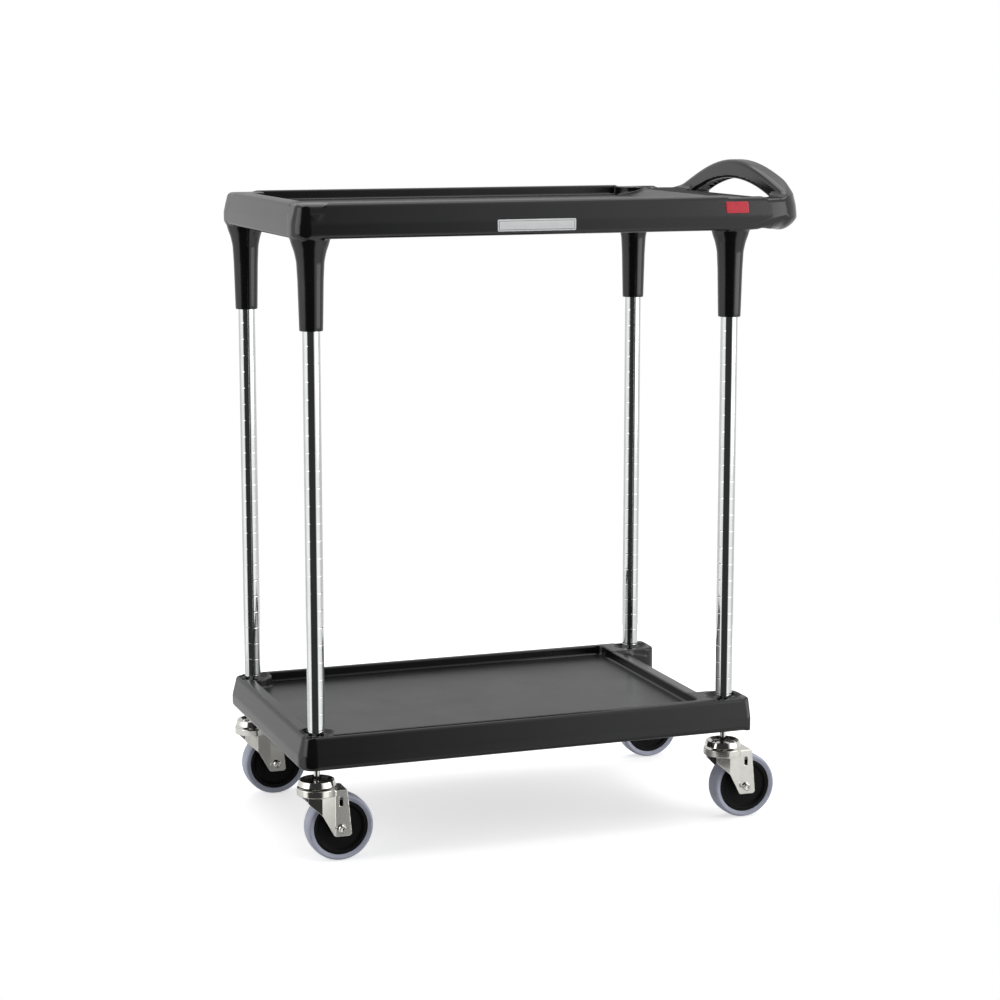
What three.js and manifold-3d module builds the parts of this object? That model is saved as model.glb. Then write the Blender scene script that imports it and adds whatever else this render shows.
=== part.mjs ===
// A two-shelf service trolley: a fixed lower tray on four swivel casters, four chromed posts with
// locking grooves, and an upper tray with long corner sleeves that slides on the posts and carries
// an arched handle. Millimetres, +Z up, +X towards the handle, origin on the floor at the centre.
import * as THREE from 'three';
import { mergeVertices } from 'three/addons/utils/BufferGeometryUtils.js';
import Module from 'manifold-3d';

const wasm = await Module();
wasm.setup();

// Overall layout
const POST_SPACING_X = 648;
const POST_SPACING_Y = 370;
const FRONT_OVERHANG = 31; // from the front posts to the plain end of both trays
const SIDE_OVERHANG = 33; // from the posts to the tray sides
const HANDLE_OVERHANG = 117; // from the rear posts to the end of the handle
const LOWER_OVERHANG = 34; // from the rear posts to the rear end of the lower tray
const POSTS_MID_X = (FRONT_OVERHANG - HANDLE_OVERHANG) / 2;
const FRONT_POST_X = POSTS_MID_X - POST_SPACING_X / 2;
const REAR_POST_X = POSTS_MID_X + POST_SPACING_X / 2;
const HALF_WIDTH = POST_SPACING_Y / 2 + SIDE_OVERHANG;
const FRONT_END = FRONT_POST_X - FRONT_OVERHANG;
const HANDLE_END = REAR_POST_X + HANDLE_OVERHANG;
const LOWER_END = REAR_POST_X + LOWER_OVERHANG;

// Heights above the floor
const LOWER_TRAY_Z = 141.5;
const UPPER_TRAY_Z = 905;
const TRAY_HEIGHT = 51;
const SLEEVE_BOTTOM_Z = 775.4;
const HANDLE_TOP_Z = 1002;
const POST_FOOT_Z = 148;
const POST_TOP_Z = 835;

// Trays
const CORNER_RADIUS = 24;
const NOSE_RADIUS = 64;
const CORNER_STEPS = 3;
const SKIRT_WALL = 5;
const SKIRT_LEAN = 8; // the most that the sides lean in, at the foot and at the rim
const DECK_DEPTH = 15;
const DECK_THICKNESS = 5;
const RIM_WIDTH = 20;
const PAD_RADIUS = 30; // round pad over each post
const PAD_DROP = 2; // of the upper tray's pads below its rim
const DISH_RADIUS = 28; // conical dish round each post's foot
const DISH_FLOOR_RADIUS = 21;
const DISH_DEPTH = 8;
const DISH_EDGE = 3; // rim left standing between a dish and the outside of the tray
const RECESS_SLOPE = 3; // how far the deck's walls slope in
const RECESS_START = 27; // from the plain end of a tray to its deck
const CLEAR = 10; // how far a cutting body runs past what it cuts
const RAMP_START = REAR_POST_X - 31; // the upper deck rises here to the storage platform
const PLATFORM_START = REAR_POST_X + 3;
const PLATFORM_END = REAR_POST_X + 66;
const PLATFORM_DROP = 5; // storage platform below the upper rim
const RIM_FALL_START = REAR_POST_X + 41; // the side rims fall here to the platform's level
const RIM_FALL_END = REAR_POST_X + 49;
const ARM_INNER_Y = 150; // half the gap between the two arms that carry the handle
const LOWER_LIP_END = REAR_POST_X - 16;
const BLOCK_RADIUS = 8; // outer corners of the lower tray's rear blocks, seen from above
const BLOCK_INNER_RADIUS = 22;
const BLOCK_LEAN = 0.15; // how much of the skirt's lean the blocks' rear faces have
const SKIRT_PROFILE = [[0, SKIRT_LEAN], [3, 3], [9, 0], [20, 0], [TRAY_HEIGHT, 7.5]];

// Handle
const HANDLE_THICKNESS = 32;
// Outside of the arms and the arch at the handle end: height above the tray's foot, how far the end
// and the sides lean in there, and how much the corner radius grows.
const ARM_PROFILE = [
  [-10, 0, 0, 0], [20, 0, 0, 0], [34, 0, 3.4, 0], [51, 1.6, 7.5, 3], [61, 2.2, 10, 14], [107, 5, 21, 20],
];
// Rounded foot of the handle end: height above the tray's foot, and how far it stands back.
const NOSE_FOOT = [[-1, 28], [0, 26], [4, 16], [10, 9], [18, 3.7], [27, 0.8], [34, 0], [120, 0]];
const HANDLE_RISE = HANDLE_TOP_Z - UPPER_TRAY_Z - TRAY_HEIGHT + PLATFORM_DROP;
const HANDLE_SPAN = 210; // half the width over which the arch falls back to the rim
const HANDLE_POWER = 1.1; // the arch is a cosine to this power, and a smaller one makes it rounder
const GRIP_DEPTH = 29;
const GRIP_CURVE = 0.0013;
const ARM_FOOT_Z = UPPER_TRAY_Z + 12;

// Label and badge
const LABEL_LENGTH = 120;
const LABEL_HEIGHT = 17;
const LABEL_X = POSTS_MID_X + 4;
const LABEL_Z = UPPER_TRAY_Z + 6;
const BADGE_SIZE = [36, 0.8, 17];
const BADGE_X = REAR_POST_X - 3;
const BADGE_HEIGHT = 34; // of its middle above the upper tray's foot

// Posts, sleeves and locks
const POST_RADIUS = 12.7;
const POST_BORE = 11.2;
const POST_SEGMENTS = 16;
const INSERT_TOP_Z = 172;
const SOCKET_RADIUS = 13.3;
const SOCKET_TOP_Z = 943;
const SLEEVE_DEPTH = UPPER_TRAY_Z - SLEEVE_BOTTOM_Z;
// Outside of a sleeve, [radius, depth below the upper tray's foot].
const SLEEVE_FLARE = [[17, SLEEVE_DEPTH], [18.7, 57], [20, 32], [23, 18], [26.5, 8.5], [PAD_RADIUS, -2]];
const LOCK_RADIUS = 15;
const LOCK_HEIGHT = 40;
const LOCK_BOTTOM_Z = SLEEVE_BOTTOM_Z + 3;
const LOCK_SLIT = 0.5; // radians
const FIT_GAP = 0.3;

// Casters
const WHEEL_RADIUS = 50;
const WHEEL_SEGMENTS = 20;
const TYRE_HALF_WIDTH = 15;
const TYRE_SEAT = 41;
const TRAIL = 32; // from the swivel axis back to the axle
const RACE_RADIUS = 28.3;
const RACE_RIM_RADIUS = 25.4;
const RACE_RIM_Z = 122.7;
const RACE_BOTTOM_Z = 114;
const CROWN_RADIUS = 29.4;
const CROWN_TOP_Z = 111;
const CROWN_SIDE_Z = 100.5; // the crown's turned-down side ends here
const CROWN_THICKNESS = 3;
const LEG_INNER_Y = 17;
const LEG_THICKNESS = 2.5;
const STEM_RADIUS = 4.5;
const STEM_TOP_Z = 168;
const KINGPIN_BOTTOM_Z = 100.7;
const KINGPIN_NUT_HEIGHT = 4.4;
const LEG_TOP_Z = 107.5;
const CROWN_FOOT_Z = LEG_TOP_Z - 1.5;
const AXLE_RADIUS = 4;
const BUSH_RADIUS = 6.5;
const LEG_TOP_END = 41;
// Side outline of a fork, [distance behind the swivel axis, height].
const LEG_OUTLINE = [
  [-19, LEG_TOP_Z], [-19, 92], [1, 73], [20, 39.5], [23, 38], [44, 38], [47, 41], [LEG_TOP_END, LEG_TOP_Z],
];
const LEG_SLOT = [[28.6, 84], [33.4, 84], [33.4, 97], [28.6, 97]];
// One leg's wall seen from above, from front to back, outside and inside; it is bent round the stem.
const LEG_OUTER_Y = LEG_INNER_Y + LEG_THICKNESS;
const LEG_OUTSIDE = [[-19, LEG_OUTER_Y], [0.5, 27.5], [22, LEG_OUTER_Y], [50, LEG_OUTER_Y]];
const LEG_INSIDE = [[-18, 17.2], [0.5, 24.8], [21.5, LEG_INNER_Y], [50, LEG_INNER_Y]];

const COLOURS = {
  plastic: { color: 0x2a2a2b, roughness: 0.55, metalness: 0 },
  chrome: { color: 0xd8dad8, roughness: 0.12, metalness: 1 },
  zinc: { color: 0xd9d8cf, roughness: 0.3, metalness: 1 },
  steel: { color: 0xa8aaa6, roughness: 0.35, metalness: 1 },
  hub: { color: 0x161617, roughness: 0.6, metalness: 0 },
  tyre: { color: 0x9a9bab, roughness: 0.7, metalness: 0 },
  black: { color: 0x111112, roughness: 0.7, metalness: 0 },
  label: { color: 0xdfe3e4, roughness: 0.4, metalness: 0 },
  badge: { color: 0xd8263c, roughness: 0.4, metalness: 0 },
};

const CORNERS = [
  { name: 'front_left', x: FRONT_POST_X, y: -POST_SPACING_Y / 2 },
  { name: 'front_right', x: FRONT_POST_X, y: POST_SPACING_Y / 2 },
  { name: 'rear_left', x: REAR_POST_X, y: -POST_SPACING_Y / 2 },
  { name: 'rear_right', x: REAR_POST_X, y: POST_SPACING_Y / 2 },
];

// ---------- Geometry helpers ----------

function signedVolume(geometry) {
  const position = geometry.getAttribute('position');
  const index = geometry.getIndex();
  const a = new THREE.Vector3();
  const b = new THREE.Vector3();
  const c = new THREE.Vector3();
  let total = 0;
  for (let i = 0; i < index.count; i += 3) {
    a.fromBufferAttribute(position, index.getX(i));
    b.fromBufferAttribute(position, index.getX(i + 1));
    c.fromBufferAttribute(position, index.getX(i + 2));
    total += a.dot(b.cross(c)) / 6;
  }
  return total;
}

// Keeps only positions, joins shared vertices, drops flat triangles and turns the faces outwards.
function closed(geometry) {
  const bare = new THREE.BufferGeometry();
  bare.setAttribute('position', geometry.getAttribute('position'));
  bare.setIndex(geometry.getIndex());
  const merged = mergeVertices(bare, 1e-3);
  const old = merged.getIndex();
  const kept = [];
  for (let i = 0; i < old.count; i += 3) {
    const [a, b, c] = [old.getX(i), old.getX(i + 1), old.getX(i + 2)];
    if (a !== b && b !== c && c !== a) kept.push(a, b, c);
  }
  merged.setIndex(kept);
  if (signedVolume(merged) < 0) merged.setIndex(kept.reverse());
  return merged;
}

function solid(geometry) {
  const body = closed(geometry);
  return new wasm.Manifold(new wasm.Mesh({
    numProp: 3,
    vertProperties: new Float32Array(body.getAttribute('position').array),
    triVerts: new Uint32Array(body.getIndex().array),
  }));
}

function geometryOf(manifold) {
  const mesh = manifold.getMesh();
  const geometry = new THREE.BufferGeometry();
  geometry.setAttribute('position', new THREE.Float32BufferAttribute(mesh.vertProperties, 3));
  geometry.setIndex(Array.from(mesh.triVerts));
  return geometry;
}

function block(x0, x1, y0, y1, z0, z1) {
  const geometry = new THREE.BoxGeometry(x1 - x0, y1 - y0, z1 - z0);
  geometry.translate((x0 + x1) / 2, (y0 + y1) / 2, (z0 + z1) / 2);
  return geometry;
}

// A body turned about the vertical line through (x, y); the profile holds [radius, z] pairs.
function turned(profile, segments, x = 0, y = 0) {
  const points = profile.map(([radius, z]) => new THREE.Vector2(radius, z));
  const geometry = new THREE.LatheGeometry(points, segments);
  geometry.rotateX(Math.PI / 2);
  geometry.translate(x, y, 0);
  return closed(geometry);
}

function rod(radius, z0, z1, segments, x = 0, y = 0) {
  return turned([[0, z0], [radius, z0], [radius, z1], [0, z1]], segments, x, y);
}

// A ring with a through bore, whose profile closes on itself.
function ring(inner, outer, z0, z1, segments, x = 0, y = 0) {
  const profile = [[inner, z0], [outer, z0], [outer, z1], [inner, z1], [inner, z0]];
  return turned(profile, segments, x, y);
}

// Corner radius of a hexagonal bore that clears a round rod.
function hexBore(radius) {
  return (radius + FIT_GAP) / Math.cos(Math.PI / 6);
}

// Corner points of a rectangle with its own corner radius at each end, anticlockwise from above.
function roundedOutline(x0, x1, halfY, frontRadius, rearRadius) {
  const points = [];
  const corners = [
    [x1 - rearRadius, -halfY + rearRadius, rearRadius, -Math.PI / 2],
    [x1 - rearRadius, halfY - rearRadius, rearRadius, 0],
    [x0 + frontRadius, halfY - frontRadius, frontRadius, Math.PI / 2],
    [x0 + frontRadius, -halfY + frontRadius, frontRadius, Math.PI],
  ];
  for (const [cx, cy, radius, start] of corners) {
    for (let i = 0; i <= CORNER_STEPS; i += 1) {
      const angle = start + (i / CORNER_STEPS) * (Math.PI / 2);
      points.push([cx + radius * Math.cos(angle), cy + radius * Math.sin(angle)]);
    }
  }
  return points;
}

// Skins a stack of outlines that have the same number of points; each is { z, points }.
function lofted(sections) {
  const count = sections[0].points.length;
  const positions = [];
  const index = [];
  for (const { z, points } of sections) {
    for (const [x, y] of points) positions.push(x, y, z);
  }
  for (let s = 0; s + 1 < sections.length; s += 1) {
    for (let i = 0; i < count; i += 1) {
      const a = s * count + i;
      const b = s * count + (i + 1) % count;
      index.push(a, b, b + count, a, b + count, a + count);
    }
  }
  const last = (sections.length - 1) * count;
  for (let i = 1; i + 1 < count; i += 1) {
    index.push(0, i + 1, i);
    index.push(last, last + i, last + i + 1);
  }
  const geometry = new THREE.BufferGeometry();
  geometry.setAttribute('position', new THREE.Float32BufferAttribute(positions, 3));
  geometry.setIndex(index);
  return geometry;
}

// A flat outline in the X-Z plane, extruded along Y from y0 to y1.
function plate(points, y0, y1, holes = []) {
  const shape = new THREE.Shape(points.map(([x, z]) => new THREE.Vector2(x, z)));
  shape.holes = holes;
  const options = { depth: y1 - y0, bevelEnabled: false, curveSegments: 6 };
  const geometry = new THREE.ExtrudeGeometry(shape, options);
  geometry.rotateX(Math.PI / 2);
  geometry.translate(0, y1, 0);
  return closed(geometry);
}

// An outline seen from above, extruded from z0 to z1.
function prism(points, z0, z1) {
  const shape = new THREE.Shape(points.map(([x, y]) => new THREE.Vector2(x, y)));
  const geometry = new THREE.ExtrudeGeometry(shape, { depth: z1 - z0, bevelEnabled: false });
  geometry.translate(0, 0, z0);
  return closed(geometry);
}

function part(name, geometry, finish) {
  const mesh = new THREE.Mesh(geometry, new THREE.MeshStandardMaterial(finish));
  mesh.name = name;
  return mesh;
}

// ---------- Trays ----------

// The outer skin that both trays share: rounded bottom edge, upright band, sides leaning in.
function traySkin(baseZ, rearEnd, rearRadius, rearLean = 1) {
  return solid(lofted(SKIRT_PROFILE.map(([z, leanIn]) => ({
    z: baseZ + z,
    points: roundedOutline(
      FRONT_END + leanIn,
      rearEnd - leanIn * rearLean,
      HALF_WIDTH - leanIn,
      CORNER_RADIUS - leanIn,
      rearRadius - leanIn * rearLean,
    ),
  }))));
}

// The hollow underside, with solid round bosses left standing under the posts.
function underside(baseZ, rearEnd, rearRadius, roofZ, bossRadius) {
  const wall = SKIRT_LEAN;
  let hollow = solid(lofted([baseZ - 1, roofZ].map((z) => ({
    z,
    points: roundedOutline(
      FRONT_END + wall,
      rearEnd - wall,
      HALF_WIDTH - wall,
      CORNER_RADIUS - wall,
      rearRadius - wall,
    ),
  }))));
  for (const { x, y } of CORNERS) {
    const boss = rod(bossRadius, baseZ - CLEAR, roofZ + CLEAR, POST_SEGMENTS, x, y);
    hollow = hollow.subtract(solid(boss));
  }
  return hollow;
}

// The sunk deck between x0 and x1, with sloping walls that go round the pads over the posts.
function deckRecess(topZ, x0, x1) {
  const halfY = HALF_WIDTH - RIM_WIDTH;
  let recess = solid(lofted([[topZ - DECK_DEPTH, RECESS_SLOPE], [topZ + 1, 0]].map(([z, slope]) => ({
    z,
    points: roundedOutline(x0 + slope, x1 - slope, halfY - slope, 12 - slope, 12 - slope),
  }))));
  for (const { x, y } of CORNERS) {
    const pad = rod(PAD_RADIUS, topZ - DECK_DEPTH - CLEAR, topZ + CLEAR, POST_SEGMENTS, x, y);
    recess = recess.subtract(solid(pad));
  }
  return recess;
}

function lowerTray() {
  const top = LOWER_TRAY_Z + TRAY_HEIGHT;
  const lipInner = LOWER_LIP_END - 30;
  let tray = traySkin(LOWER_TRAY_Z, LOWER_END, BLOCK_RADIUS, BLOCK_LEAN);
  tray = tray.subtract(deckRecess(top, FRONT_END + RECESS_START, lipInner));
  // The rear end stands back between the two corner blocks, and its lip slopes outwards.
  const notchSide = [[LOWER_LIP_END, ARM_INNER_Y]];
  for (let i = 0; i <= CORNER_STEPS; i += 1) {
    const angle = (i / CORNER_STEPS) * (Math.PI / 2);
    notchSide.push([
      LOWER_END - BLOCK_INNER_RADIUS * (1 - Math.sin(angle)),
      ARM_INNER_Y + BLOCK_INNER_RADIUS * (1 - Math.cos(angle)),
    ]);
  }
  notchSide.push([LOWER_END + CLEAR, ARM_INNER_Y + BLOCK_INNER_RADIUS]);
  const notch = [...notchSide, ...notchSide.map(([x, y]) => [x, -y]).reverse()];
  tray = tray.subtract(solid(prism(notch, LOWER_TRAY_Z - CLEAR, top + CLEAR)));
  const lip = plate([
    [lipInner - 1, top + 5],
    [lipInner - 1, top - 1],
    [lipInner + 3, top - 1.5],
    [LOWER_LIP_END + 5, top - 9],
    [LOWER_LIP_END + 5, top + 5],
  ], -ARM_INNER_Y, ARM_INNER_Y);
  tray = tray.subtract(solid(lip));
  const roofZ = top - DECK_DEPTH - DECK_THICKNESS;
  tray = tray.subtract(underside(LOWER_TRAY_Z, LOWER_LIP_END, CORNER_RADIUS, roofZ, PAD_RADIUS));
  const lean = SKIRT_PROFILE[SKIRT_PROFILE.length - 1][1];
  const dishLimit = solid(block(
    FRONT_END + lean + DISH_EDGE,
    LOWER_END,
    -HALF_WIDTH + lean + DISH_EDGE,
    HALF_WIDTH - lean - DISH_EDGE,
    LOWER_TRAY_Z,
    top + CLEAR,
  ));
  for (const { x, y } of CORNERS) {
    const dish = [
      [0, top - DISH_DEPTH],
      [DISH_FLOOR_RADIUS, top - DISH_DEPTH],
      [DISH_RADIUS, top - 1],
      [DISH_RADIUS, top + 2],
      [0, top + 2],
    ];
    tray = tray.subtract(solid(turned(dish, POST_SEGMENTS, x, y)).intersect(dishLimit));
    const socket = rod(POST_RADIUS + FIT_GAP, POST_FOOT_Z - FIT_GAP, top, POST_SEGMENTS, x, y);
    tray = tray.subtract(solid(socket));
    const stemHole = rod(STEM_RADIUS + FIT_GAP, LOWER_TRAY_Z - 1, POST_FOOT_Z, 12, x, y);
    tray = tray.subtract(solid(stemHole));
  }
  return part('lower_tray', geometryOf(tray), COLOURS.plastic);
}

// Height of the top of the handle arch above the platform, at a distance y from the middle.
function archTop(y) {
  return HANDLE_RISE * Math.max(Math.cos((Math.PI * y) / (2 * HANDLE_SPAN)), 0) ** HANDLE_POWER;
}

// The arch between the arms, as the outline of its two edges in the Y-Z plane.
function handleArch() {
  const base = UPPER_TRAY_Z + TRAY_HEIGHT - PLATFORM_DROP;
  const steps = 18;
  const points = [];
  for (let i = 0; i <= steps; i += 1) {
    const y = -HANDLE_SPAN + (2 * HANDLE_SPAN * i) / steps;
    points.push([y, base + archTop(y) - 0.01]);
  }
  points.push([HANDLE_SPAN, ARM_FOOT_Z], [ARM_INNER_Y, ARM_FOOT_Z]);
  const innerSteps = 8;
  for (let i = 0; i <= innerSteps; i += 1) {
    const y = ARM_INNER_Y - (2 * ARM_INNER_Y * i) / innerSteps;
    points.push([y, HANDLE_TOP_Z - GRIP_DEPTH - GRIP_CURVE * y * y]);
  }
  points.push([-ARM_INNER_Y, ARM_FOOT_Z], [-HANDLE_SPAN, ARM_FOOT_Z]);
  const geometry = plate(points, -HANDLE_END, -HANDLE_END + HANDLE_THICKNESS);
  geometry.rotateZ(Math.PI / 2);
  return geometry;
}

function upperTray() {
  const rim = UPPER_TRAY_Z + TRAY_HEIGHT;
  const roofZ = rim - DECK_DEPTH - DECK_THICKNESS;
  let tray = traySkin(UPPER_TRAY_Z, HANDLE_END, NOSE_RADIUS);
  // The sunk deck ends in a ramp up to the storage platform in front of the handle.
  const room = plate([
    [FRONT_END, rim - DECK_DEPTH],
    [RAMP_START, rim - DECK_DEPTH],
    [PLATFORM_START, rim - PLATFORM_DROP],
    [HANDLE_END + CLEAR, rim - PLATFORM_DROP],
    [HANDLE_END + CLEAR, rim + CLEAR],
    [FRONT_END, rim + CLEAR],
  ], -HALF_WIDTH, HALF_WIDTH);
  const recess = deckRecess(rim, FRONT_END + RECESS_START, HANDLE_END + 3 * CLEAR);
  tray = tray.subtract(recess.intersect(solid(room)));
  // From the rear posts the side rims lie at the pads' level, and fall to the platform's by the arch.
  const rimFall = plate([
    [REAR_POST_X, rim + 1],
    [REAR_POST_X, rim - PAD_DROP],
    [RIM_FALL_START, rim - PAD_DROP],
    [RIM_FALL_END, rim - PLATFORM_DROP],
    [HANDLE_END, rim - PLATFORM_DROP],
    [HANDLE_END, rim + 1],
  ], -HALF_WIDTH, HALF_WIDTH);
  tray = tray.subtract(solid(rimFall));
  tray = tray.subtract(underside(UPPER_TRAY_Z, PLATFORM_END, 12 + SKIRT_WALL, roofZ, PAD_RADIUS - 2));
  // Gap for the hands between the platform, the two arms and the arch.
  tray = tray.subtract(solid(block(
    PLATFORM_END,
    HANDLE_END + CLEAR,
    -ARM_INNER_Y,
    ARM_INNER_Y,
    UPPER_TRAY_Z - CLEAR,
    HANDLE_TOP_Z + CLEAR,
  )));
  const outline = ARM_PROFILE.map(([height, leanX, leanY, growth]) => ({
    z: UPPER_TRAY_Z + height,
    points: roundedOutline(
      FRONT_END,
      HANDLE_END - leanX,
      HALF_WIDTH - leanY,
      CORNER_RADIUS,
      NOSE_RADIUS + growth,
    ),
  }));
  tray = tray.add(solid(handleArch()).intersect(solid(lofted(outline))));
  const noseFoot = NOSE_FOOT.map(([height, standBack]) => ({
    z: UPPER_TRAY_Z + height,
    points: roundedOutline(
      FRONT_END,
      HANDLE_END - standBack,
      HALF_WIDTH,
      CORNER_RADIUS - SKIRT_LEAN,
      NOSE_RADIUS,
    ),
  }));
  tray = tray.intersect(solid(lofted(noseFoot)));
  for (const { x, y } of CORNERS) {
    const flare = [
      [0, SLEEVE_BOTTOM_Z],
      ...SLEEVE_FLARE.map(([radius, depth]) => [radius, UPPER_TRAY_Z - depth]),
      [PAD_RADIUS - 2, roofZ + 2],
      [0, roofZ + 2],
    ];
    tray = tray.add(solid(turned(flare, POST_SEGMENTS, x, y)));
  }
  const lockTopZ = LOCK_BOTTOM_Z + LOCK_HEIGHT + FIT_GAP;
  for (const { x, y } of CORNERS) {
    const socket = [
      [0, SLEEVE_BOTTOM_Z - 1],
      [LOCK_RADIUS + FIT_GAP, SLEEVE_BOTTOM_Z - 1],
      [LOCK_RADIUS + FIT_GAP, lockTopZ],
      [SOCKET_RADIUS, lockTopZ],
      [SOCKET_RADIUS, SOCKET_TOP_Z],
      [0, SOCKET_TOP_Z],
    ];
    tray = tray.subtract(solid(turned(socket, POST_SEGMENTS, x, y)));
    tray = tray.subtract(solid(rod(PAD_RADIUS, rim - PAD_DROP, rim + CLEAR, POST_SEGMENTS, x, y)));
  }
  tray = tray.subtract(solid(labelBlock(0.6)));
  return part('upper_tray', geometryOf(tray), COLOURS.plastic);
}

// ---------- Label and badge on the left side of the upper tray ----------

// The label lies in a shallow moulded recess; margin makes the recess a little larger than it.
function labelBlock(margin) {
  const depth = margin > 0 ? 2 : 1;
  const face = margin > 0 ? -HALF_WIDTH - 1 : -HALF_WIDTH + 0.2;
  return block(
    LABEL_X - LABEL_LENGTH / 2 - margin,
    LABEL_X + LABEL_LENGTH / 2 + margin,
    face,
    face + depth + margin,
    LABEL_Z - margin,
    LABEL_Z + LABEL_HEIGHT + margin,
  );
}

function badge() {
  const [low, high] = [SKIRT_PROFILE[3], SKIRT_PROFILE[4]];
  const lean = Math.atan((high[1] - low[1]) / (high[0] - low[0]));
  const geometry = new THREE.BoxGeometry(...BADGE_SIZE);
  geometry.rotateX(-lean);
  const face = -HALF_WIDTH + low[1] + (BADGE_HEIGHT - low[0]) * Math.tan(lean);
  geometry.translate(BADGE_X, face - BADGE_SIZE[1], UPPER_TRAY_Z + BADGE_HEIGHT);
  return part('badge', geometry, COLOURS.badge);
}

// ---------- Posts ----------

function postParts({ name, x, y }) {
  const capZ = POST_TOP_Z + FIT_GAP;
  const plugRadius = POST_BORE - FIT_GAP;
  const cap = [
    [0, POST_TOP_Z - 15],
    [plugRadius, POST_TOP_Z - 15],
    [plugRadius, capZ],
    [POST_RADIUS - 0.5, capZ],
    [POST_RADIUS - 1.5, capZ + 3],
    [0, capZ + 3],
  ];
  const lockShape = new THREE.Shape();
  lockShape.absarc(0, 0, LOCK_RADIUS, LOCK_SLIT / 2, 2 * Math.PI - LOCK_SLIT / 2, false);
  lockShape.absarc(0, 0, POST_RADIUS + FIT_GAP, 2 * Math.PI - LOCK_SLIT / 2, LOCK_SLIT / 2, true);
  const options = { depth: LOCK_HEIGHT, bevelEnabled: false, curveSegments: 9 };
  const lock = new THREE.ExtrudeGeometry(lockShape, options);
  lock.translate(x, y, LOCK_BOTTOM_Z);
  const tube = ring(POST_BORE, POST_RADIUS, POST_FOOT_Z, POST_TOP_Z, POST_SEGMENTS, x, y);
  const insert = ring(STEM_RADIUS + FIT_GAP, plugRadius, POST_FOOT_Z, INSERT_TOP_Z, 12, x, y);
  return [
    part(`post_${name}`, tube, COLOURS.chrome),
    part(`post_cap_${name}`, turned(cap, 12, x, y), COLOURS.black),
    part(`post_insert_${name}`, insert, COLOURS.steel),
    part(`lock_sleeve_${name}`, closed(lock), COLOURS.black),
  ];
}

// ---------- Casters ----------

// Stem, kingpin and the cupped upper race are one pressed and riveted piece.
function stemGeometry() {
  const pinRadius = STEM_RADIUS - 0.5;
  return turned([
    [0, KINGPIN_BOTTOM_Z],
    [pinRadius, KINGPIN_BOTTOM_Z],
    [pinRadius, RACE_BOTTOM_Z + 1],
    [20, RACE_BOTTOM_Z + 1],
    [RACE_RADIUS, RACE_BOTTOM_Z],
    [RACE_RIM_RADIUS, RACE_RIM_Z],
    [RACE_RIM_RADIUS - 1.4, RACE_RIM_Z - 0.4],
    [20.5, RACE_BOTTOM_Z + 3.5],
    [12, RACE_BOTTOM_Z + 3.2],
    [STEM_RADIUS, RACE_BOTTOM_Z + 5],
    [STEM_RADIUS, STEM_TOP_Z],
    [0, STEM_TOP_Z],
  ], 16);
}

// A round cutter along the axle, at the wheel's centre.
function axleCutter(radius, length, segments) {
  const cutter = new THREE.CylinderGeometry(radius, radius, length, segments);
  cutter.translate(TRAIL, 0, WHEEL_RADIUS);
  return solid(cutter);
}

function forkGeometry() {
  const out = CROWN_RADIUS;
  const outline = solid(plate(LEG_OUTLINE, -out, out));
  const legs = [-1, 1].map((side) => {
    const wall = [...LEG_OUTSIDE, ...[...LEG_INSIDE].reverse()];
    const leg = prism(wall.map(([x, y]) => [x, side * y]), 0, CROWN_TOP_Z);
    return solid(leg).intersect(outline);
  });
  const crown = [
    [0, CROWN_FOOT_Z],
    [CROWN_RADIUS - 2.4, CROWN_FOOT_Z],
    [CROWN_RADIUS - 2.4, CROWN_SIDE_Z],
    [CROWN_RADIUS, CROWN_SIDE_Z],
    [CROWN_RADIUS, CROWN_TOP_Z],
    [20, CROWN_FOOT_Z + CROWN_THICKNESS],
    [0, CROWN_FOOT_Z + CROWN_THICKNESS],
  ];
  let fork = solid(turned(crown, 16)).add(legs[0]).add(legs[1]);
  const web = block(0, LEG_TOP_END, -LEG_OUTER_Y + 1, LEG_OUTER_Y - 1, CROWN_FOOT_Z, LEG_TOP_Z);
  fork = fork.add(solid(web));
  fork = fork.subtract(axleCutter(WHEEL_RADIUS + 3, 2 * LEG_INNER_Y - 1, 28));
  fork = fork.subtract(solid(rod(STEM_RADIUS + FIT_GAP, CROWN_TOP_Z - CLEAR, CROWN_TOP_Z + CLEAR, 12)));
  fork = fork.subtract(solid(plate(LEG_SLOT, -out - 1, out + 1)));
  return geometryOf(fork.subtract(axleCutter(AXLE_RADIUS + FIT_GAP, 4 * LEG_INNER_Y, 12)));
}

// Turned about the axle, which lies along Y; the profile holds [radius, y] pairs.
function turnedOnAxle(profile, segments) {
  const points = profile.map(([radius, y]) => new THREE.Vector2(radius, y));
  return closed(new THREE.LatheGeometry(points, segments));
}

function mirrored(halfProfile) {
  const other = halfProfile.map(([radius, y]) => [radius, -y]).reverse();
  return [...halfProfile, ...other, halfProfile[0]];
}

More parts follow.
